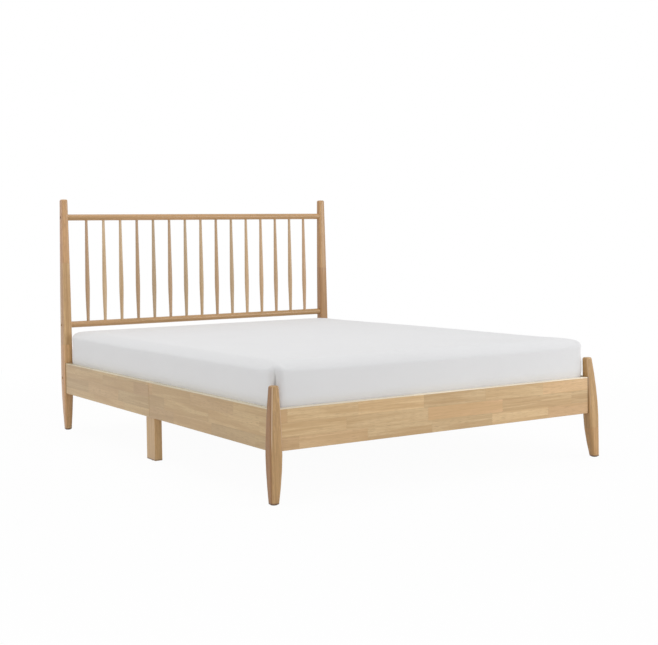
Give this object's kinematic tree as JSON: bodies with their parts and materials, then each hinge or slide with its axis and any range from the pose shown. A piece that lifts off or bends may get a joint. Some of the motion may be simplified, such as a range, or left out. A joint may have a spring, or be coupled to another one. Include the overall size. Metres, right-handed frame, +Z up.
{
  "type": "bed",
  "caption": "Wooden bed with a spindle headboard, foot posts that splay at the floor, rails on mid legs, a slatted base on a centre beam, and a mattress that lifts off.",
  "frame": {"origin": "on the floor, under the middle of the bed's bounding box", "axes": "X across the bed, +Y from the footboard to the headboard, +Z up"},
  "size_m": [1.626, 2.126, 1.177],
  "materials": {
    "frame_wood": "satin",
    "base_wood": "matte",
    "mattress_cover": "matte",
    "zinc_steel": "satin",
    "black_steel": "matte",
    "glide_plastic": "matte",
    "ribbon_cloth": "matte"
  },
  "bodies": {
    "frame": {"beam_hanger_foot": "black_steel", "beam_hanger_head": "black_steel", "centre_beam_foot": "base_wood", "centre_beam_head": "base_wood", "centre_leg": "base_wood", "crescent_washers": "zinc_steel", "floor_glides": "glide_plastic", "foot_post_left": "frame_wood", "foot_post_right": "frame_wood", "footboard_panel": "frame_wood", "head_post_left": "frame_wood", "head_post_right": "frame_wood", "headboard_bolts": "zinc_steel", "headboard_bottom_bar": "frame_wood", "headboard_lower_panel": "frame_wood", "headboard_top_bar": "frame_wood", "mid_leg_bolts": "zinc_steel", "mid_leg_left": "frame_wood", "mid_leg_right": "frame_wood", "rail_studs": "zinc_steel", "side_rail_left_foot": "frame_wood", "side_rail_left_head": "frame_wood", "side_rail_right_foot": "frame_wood", "side_rail_right_head": "frame_wood", "slat_01": "base_wood", "slat_02": "base_wood", "slat_03": "base_wood", "slat_04": "base_wood", "slat_05": "base_wood", "slat_06": "base_wood", "slat_07": "base_wood", "slat_08": "base_wood", "slat_09": "base_wood", "slat_10": "base_wood", "slat_11": "base_wood", "slat_12": "base_wood", "slat_13": "base_wood", "slat_14": "base_wood", "slat_cleat_left_foot": "base_wood", "slat_cleat_left_head": "base_wood", "slat_cleat_right_foot": "base_wood", "slat_cleat_right_head": "base_wood", "slat_ribbons": "ribbon_cloth", "spindle_01": "frame_wood", "spindle_02": "frame_wood", "spindle_03": "frame_wood", "spindle_04": "frame_wood", "spindle_05": "frame_wood", "spindle_06": "frame_wood", "spindle_07": "frame_wood", "spindle_08": "frame_wood", "spindle_09": "frame_wood", "spindle_10": "frame_wood", "spindle_11": "frame_wood", "spindle_12": "frame_wood", "spindle_13": "frame_wood", "spindle_14": "frame_wood", "spindle_15": "frame_wood", "stud_nuts": "zinc_steel"},
    "mattress": {"mattress": "mattress_cover"}
  },
  "joints": [
    {"name": "mattress_lift", "type": "slide", "parent": "frame", "child": "mattress", "axis": [0, 0, 1], "range_m": [0, 0.25]}
  ]
}
